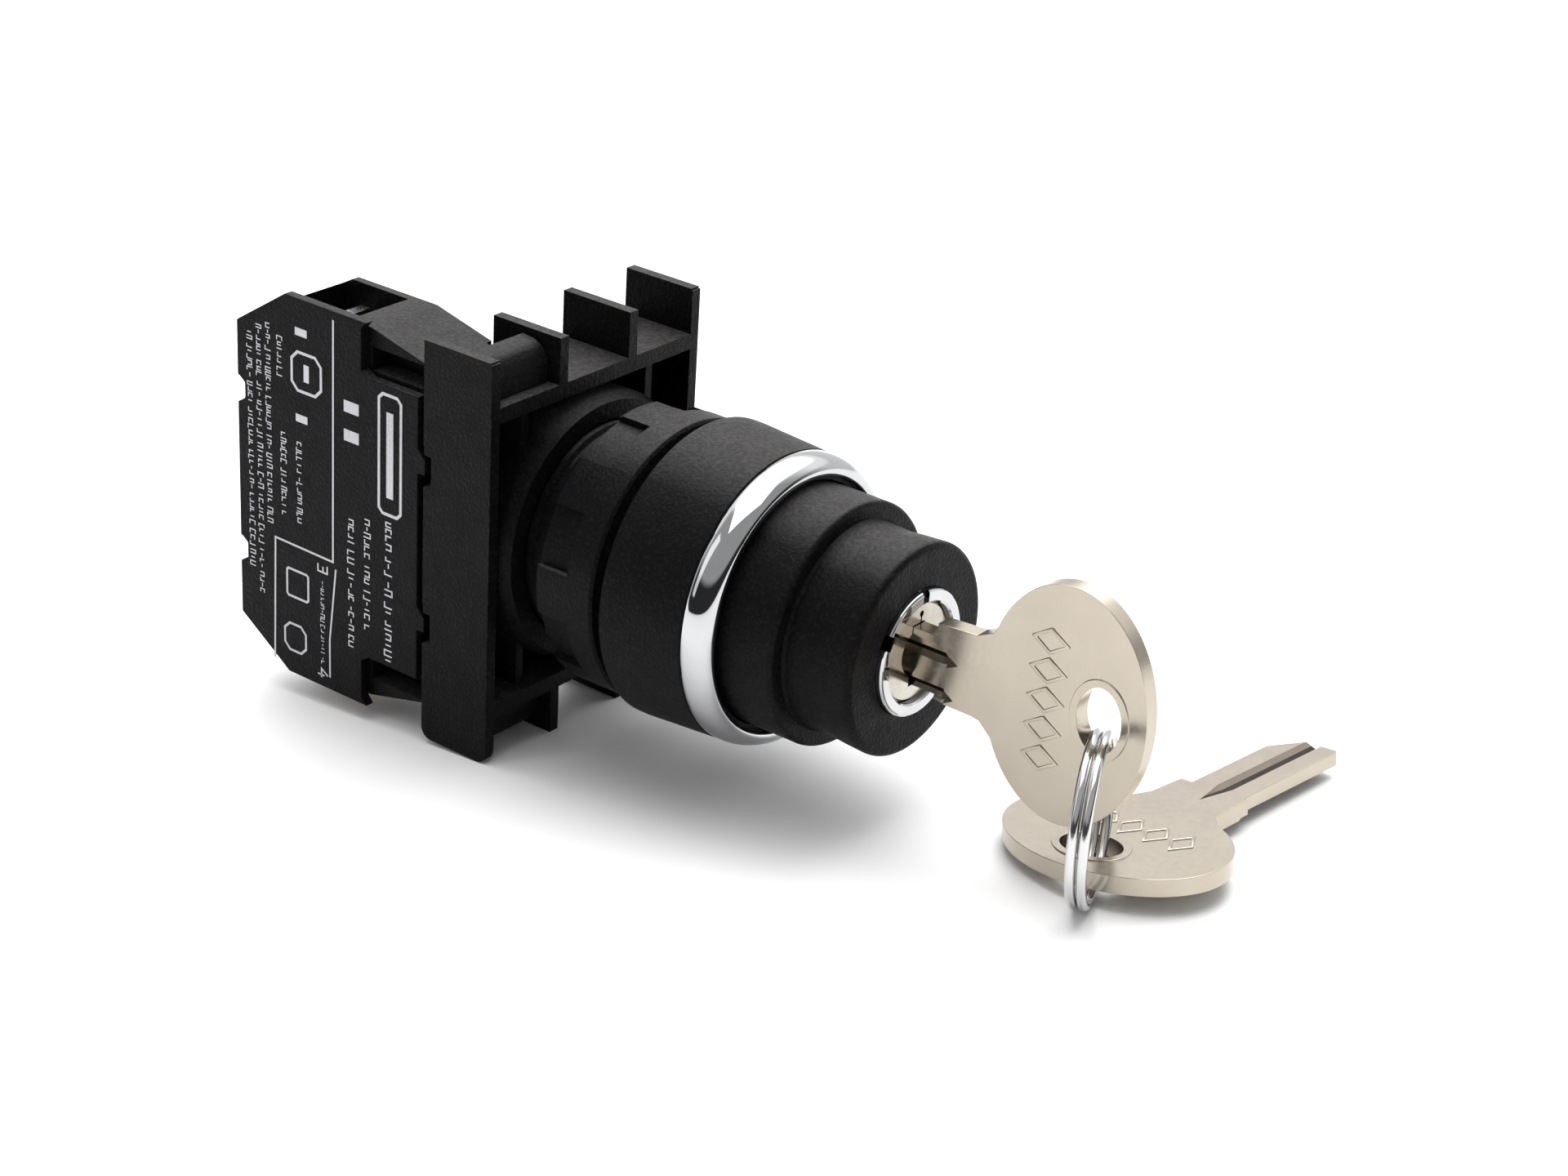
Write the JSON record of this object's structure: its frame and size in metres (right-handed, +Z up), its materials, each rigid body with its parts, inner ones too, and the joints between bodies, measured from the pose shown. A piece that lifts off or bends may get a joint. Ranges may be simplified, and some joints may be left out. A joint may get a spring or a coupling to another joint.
{
  "type": "selector key switch",
  "caption": "Round black panel switch head with a bright ring and a key lock, an adapter frame and a slim contact block behind, a split ring and a spare key.",
  "frame": {"origin": "where the switch's axis meets the panel's front face, at the back of the gasket", "axes": "+Y along the axis, away from the user and into the panel; +Z up; +X to the user's right, with the contact block on the -X side"},
  "size_m": [0.0492, 0.1043, 0.0418],
  "materials": {
    "black_plastic": "fine grained moulded black plastic",
    "chrome_trim": "mirror plated",
    "rubber_black": "smooth matt",
    "grey_plastic": "moulded",
    "red_plastic": "moulded",
    "plated_steel": "bright zinc plated",
    "spring_steel": "bright wire",
    "nickel": "warm satin nickel plate",
    "brass": "bare stamped brass",
    "contact_silver": "silver alloy"
  },
  "bodies": {
    "switch": {"bezel_body": "black_plastic", "bezel_ring": "chrome_trim", "panel_gasket": "rubber_black", "lock_housing": "black_plastic", "lock_barrel": "chrome_trim", "barrel_clip": "plated_steel", "guide_plate": "grey_plastic", "adapter_frame": "black_plastic", "block_housing": "black_plastic", "block_cover": "black_plastic", "terminal_upper": "brass", "terminal_lower": "brass", "fixed_tip_upper": "contact_silver", "fixed_tip_lower": "contact_silver", "plunger_spring": "spring_steel"},
    "nut": {"locking_nut": "black_plastic"},
    "plug": {"lock_plug": "nickel", "plug_clip": "plated_steel", "wafer_springs": "spring_steel", "tail_driver": "plated_steel", "tail_screw": "plated_steel", "cam_rotor": "grey_plastic", "index_spring": "spring_steel"},
    "wafers": {"wafer_1": "brass", "wafer_2": "brass", "wafer_3": "brass", "wafer_4": "brass"},
    "ball": {"index_ball": "spring_steel"},
    "near_pusher": {"pusher_near": "grey_plastic"},
    "far_pusher": {"pusher_far": "grey_plastic"},
    "plunger": {"block_plunger": "red_plastic", "bridge_spring": "spring_steel"},
    "bridge": {"contact_bridge": "brass", "bridge_tips": "contact_silver"},
    "upper_clamp": {"clamp_upper": "plated_steel", "terminal_screw_upper": "plated_steel"},
    "lower_clamp": {"clamp_lower": "plated_steel", "terminal_screw_lower": "plated_steel"},
    "key": {"key": "nickel"},
    "ring": {"key_ring": "spring_steel"},
    "spare": {"spare_key": "nickel"}
  },
  "joints": [
    {"name": "nut_travel", "type": "slide", "parent": "switch", "child": "nut", "axis": [0, 1, 0], "range_m": [0, 0.0035]},
    {"name": "key_turn", "type": "hinge", "parent": "switch", "child": "plug", "pos_m": [0, 0, 0], "axis": [0, 1, 0], "range_deg": [0, 90]},
    {"name": "key_withdraw", "type": "slide", "parent": "plug", "child": "key", "axis": [0, -1, 0], "range_m": [0, 0.02]},
    {"name": "wafer_drop", "type": "slide", "parent": "plug", "child": "wafers", "axis": [0, 0, -1], "range_m": [0, 0.0006], "deforming": ["wafer_springs"]},
    {"name": "index_click", "type": "slide", "parent": "plug", "child": "ball", "axis": [0, 0, 1], "range_m": [0, 0.0004], "deforming": ["index_spring"]},
    {"name": "near_pusher_slide", "type": "slide", "parent": "switch", "child": "near_pusher", "axis": [0, 1, 0], "range_m": [0, 0.003]},
    {"name": "far_pusher_slide", "type": "slide", "parent": "switch", "child": "far_pusher", "axis": [0, 1, 0], "range_m": [0, 0.003]},
    {"name": "plunger_slide", "type": "slide", "parent": "switch", "child": "plunger", "axis": [0, 1, 0], "range_m": [0, 0.003], "deforming": ["plunger_spring"]},
    {"name": "bridge_yield", "type": "slide", "parent": "plunger", "child": "bridge", "axis": [0, -1, 0], "range_m": [0, 0.001], "deforming": ["bridge_spring"]},
    {"name": "upper_clamp_screw", "type": "slide", "parent": "switch", "child": "upper_clamp", "axis": [0, 1, 0], "range_m": [0, 0.002]},
    {"name": "lower_clamp_screw", "type": "slide", "parent": "switch", "child": "lower_clamp", "axis": [0, 1, 0], "range_m": [0, 0.002]},
    {"name": "ring_swing", "type": "hinge", "parent": "key", "child": "ring", "pos_m": [0.00011, -0.04699, -0.0009], "axis": [-0.8805, -0.3598, 0.3088], "range_deg": [-40, 5]},
    {"name": "spare_key_swing", "type": "hinge", "parent": "ring", "child": "spare", "pos_m": [0.00241, -0.0464, -0.01423], "axis": [0.118, 0.9839, -0.134], "range_deg": [0, 30]}
  ],
  "couplings": [
    {"joint": "wafer_drop", "follows": "key_withdraw", "ratio": 0.03},
    {"joint": "near_pusher_slide", "follows": "key_turn", "m_per_rad": 0.0019097},
    {"joint": "far_pusher_slide", "follows": "key_turn", "m_per_rad": 0.0019097},
    {"joint": "plunger_slide", "follows": "key_turn", "m_per_rad": 0.0019097},
    {"joint": "bridge_yield", "follows": "key_turn", "m_per_rad": 0.00063656}
  ]
}
